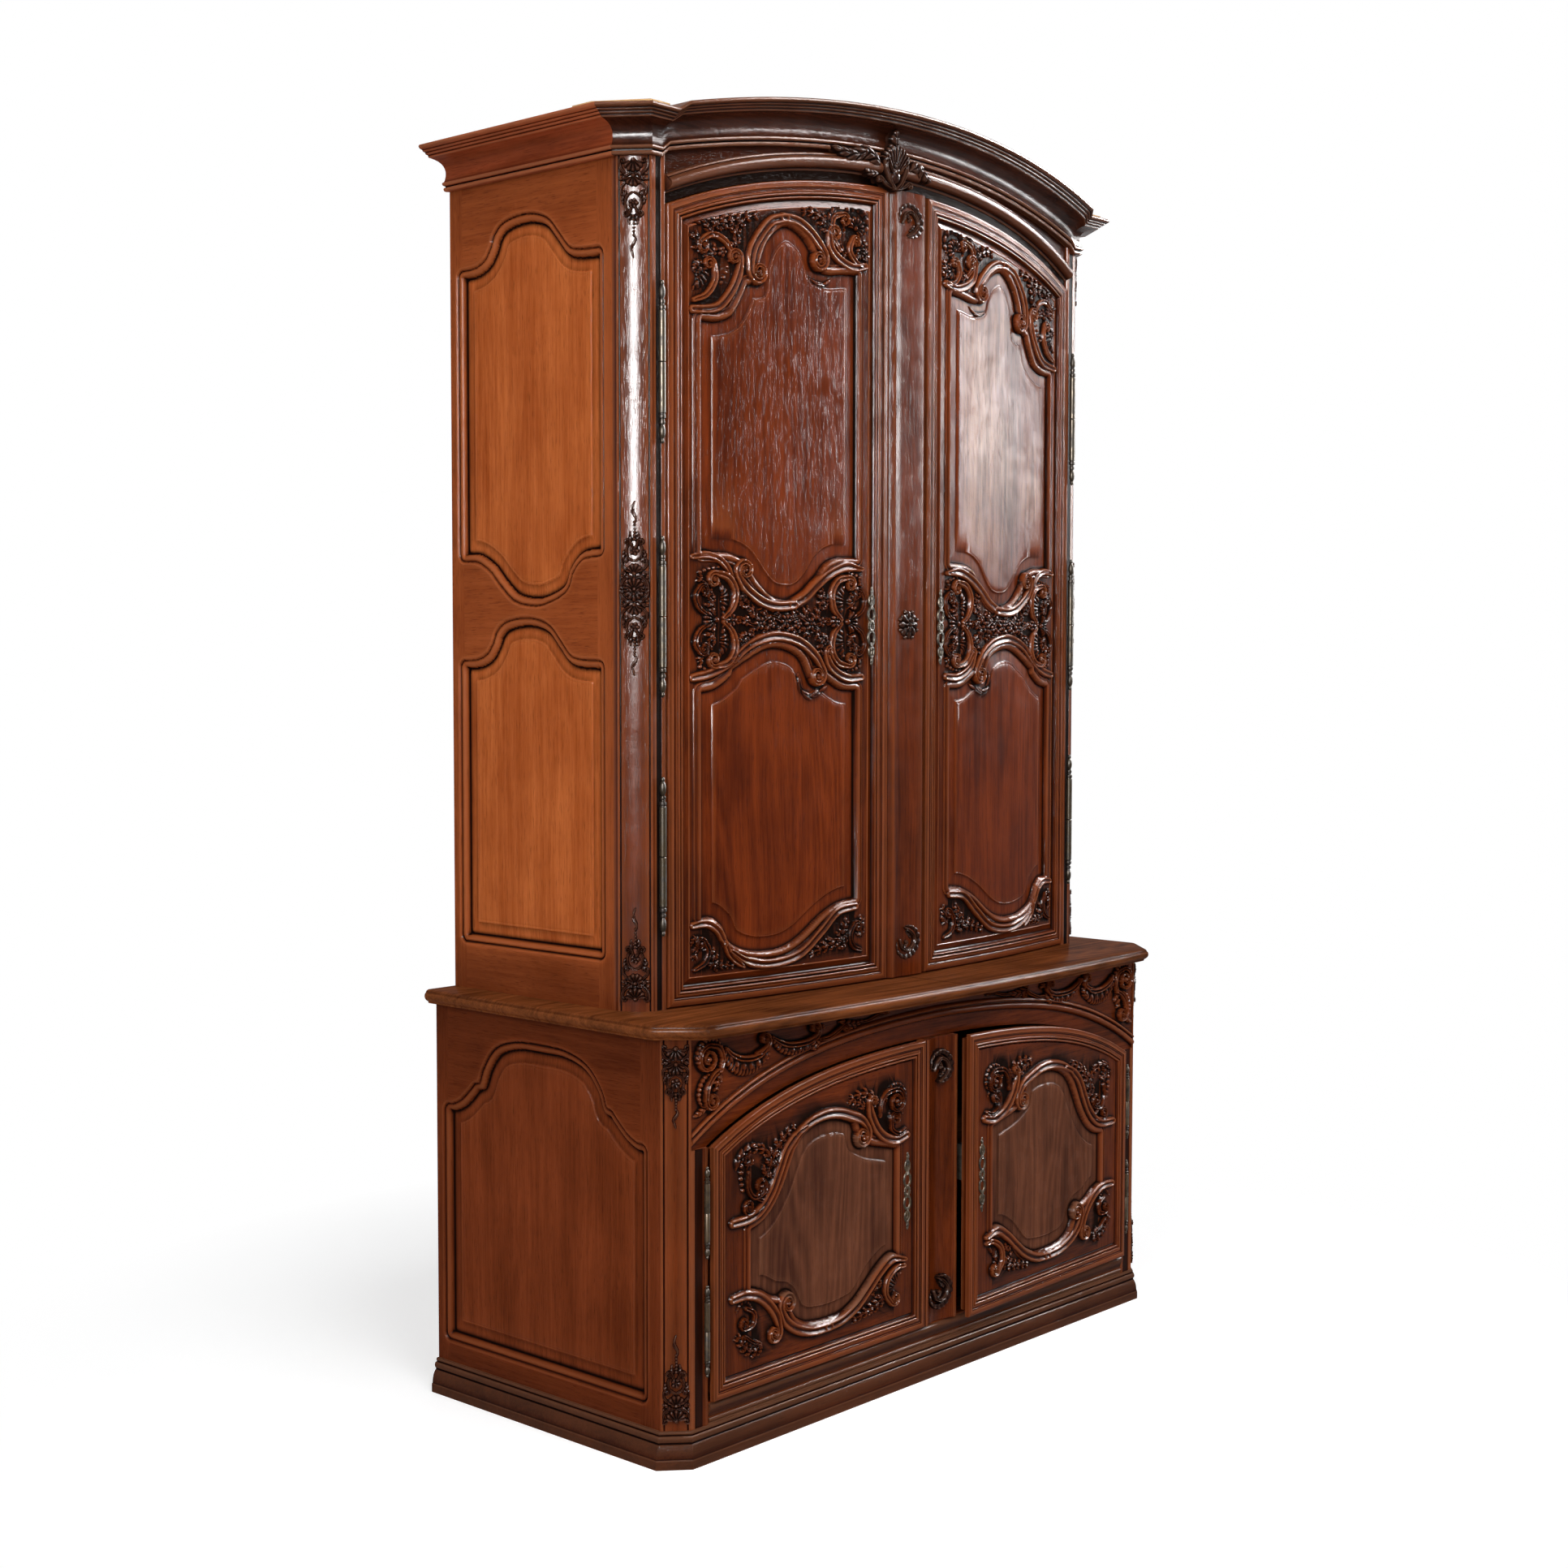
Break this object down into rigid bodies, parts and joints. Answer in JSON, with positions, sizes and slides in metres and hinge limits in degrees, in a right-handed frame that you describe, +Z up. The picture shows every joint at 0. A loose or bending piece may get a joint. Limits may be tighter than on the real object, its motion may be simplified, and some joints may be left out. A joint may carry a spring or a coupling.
{
  "type": "two-part cabinet",
  "caption": "Carved two-part cupboard with arched cornice, bowed upper doors and a wide lower cabinet, all doors on turned barrel hinges.",
  "frame": {"origin": "middle of the base, on the floor, half way between the front edge of the top and the back", "axes": "+Z up, the doors face -Y, +X to the right of someone facing the doors"},
  "size_m": [1.642, 0.779, 2.654],
  "materials": {
    "oak": "waxed, satin, worn edges",
    "dark_oak": "waxed and polished, dark in the hollows",
    "panel_oak": "waxed, straight grain",
    "side_oak": "waxed, warm and lighter than the front",
    "raw_wood": "unfinished, dull",
    "steel": "polished by hand, dark in the turnings"
  },
  "bodies": {
    "carcass": {"plinth": "oak", "lower_floor": "oak", "lower_corner_post_left": "dark_oak", "lower_corner_post_right": "dark_oak", "lower_side_frame_left": "side_oak", "lower_side_frame_right": "side_oak", "lower_side_panel_left": "side_oak", "lower_side_panel_right": "side_oak", "lower_back": "raw_wood", "lower_shelf": "oak", "lower_frieze": "dark_oak", "countertop": "oak", "upper_floor": "oak", "upper_corner_post_left": "dark_oak", "upper_corner_post_right": "dark_oak", "upper_side_frame_left": "side_oak", "upper_side_frame_right": "side_oak", "upper_side_top_panel_left": "side_oak", "upper_side_top_panel_right": "side_oak", "upper_side_low_panel_left": "side_oak", "upper_side_low_panel_right": "side_oak", "upper_back": "raw_wood", "upper_shelf": "oak", "upper_frieze": "dark_oak", "cornice": "dark_oak", "roof_board": "raw_wood", "upper_left_hinge_pin_1": "steel", "upper_left_hinge_pin_2": "steel", "upper_left_hinge_pin_3": "steel", "lower_left_hinge_pin_1": "steel", "lower_left_hinge_pin_2": "steel", "upper_right_hinge_pin_1": "steel", "upper_right_hinge_pin_2": "steel", "upper_right_hinge_pin_3": "steel", "lower_right_hinge_pin_1": "steel", "lower_right_hinge_pin_2": "steel"},
    "upper_left_door": {"upper_left_door_frame": "dark_oak", "upper_left_door_top_panel": "panel_oak", "upper_left_door_low_panel": "panel_oak", "upper_left_hinge_barrel_1": "steel", "upper_left_hinge_barrel_2": "steel", "upper_left_hinge_barrel_3": "steel", "upper_meeting_strip": "dark_oak"},
    "lower_left_door": {"lower_left_door_frame": "dark_oak", "lower_left_door_panel": "panel_oak", "lower_left_hinge_barrel_1": "steel", "lower_left_hinge_barrel_2": "steel", "lower_meeting_strip": "dark_oak"},
    "upper_right_door": {"upper_right_door_frame": "dark_oak", "upper_right_door_top_panel": "panel_oak", "upper_right_door_low_panel": "panel_oak", "upper_right_hinge_barrel_1": "steel", "upper_right_hinge_barrel_2": "steel", "upper_right_hinge_barrel_3": "steel", "upper_lock_case": "steel"},
    "lower_right_door": {"lower_right_door_frame": "dark_oak", "lower_right_door_panel": "panel_oak", "lower_right_hinge_barrel_1": "steel", "lower_right_hinge_barrel_2": "steel", "lower_lock_case": "steel"}
  },
  "joints": [
    {"name": "upper_left_door_swing", "type": "hinge", "parent": "carcass", "child": "upper_left_door", "pos_m": [-0.68, -0.168, 0.85], "axis": [0, 0, -1], "range_deg": [0, 105]},
    {"name": "upper_right_door_swing", "type": "hinge", "parent": "carcass", "child": "upper_right_door", "pos_m": [0.68, -0.168, 0.85], "axis": [0, 0, 1], "range_deg": [0, 105]},
    {"name": "lower_left_door_swing", "type": "hinge", "parent": "carcass", "child": "lower_left_door", "pos_m": [-0.713, -0.3185, 0.1], "axis": [0, 0, -1], "range_deg": [0, 105]},
    {"name": "lower_right_door_swing", "type": "hinge", "parent": "carcass", "child": "lower_right_door", "pos_m": [0.713, -0.3185, 0.1], "axis": [0, 0, 1], "range_deg": [-2.5, 102.5]}
  ]
}
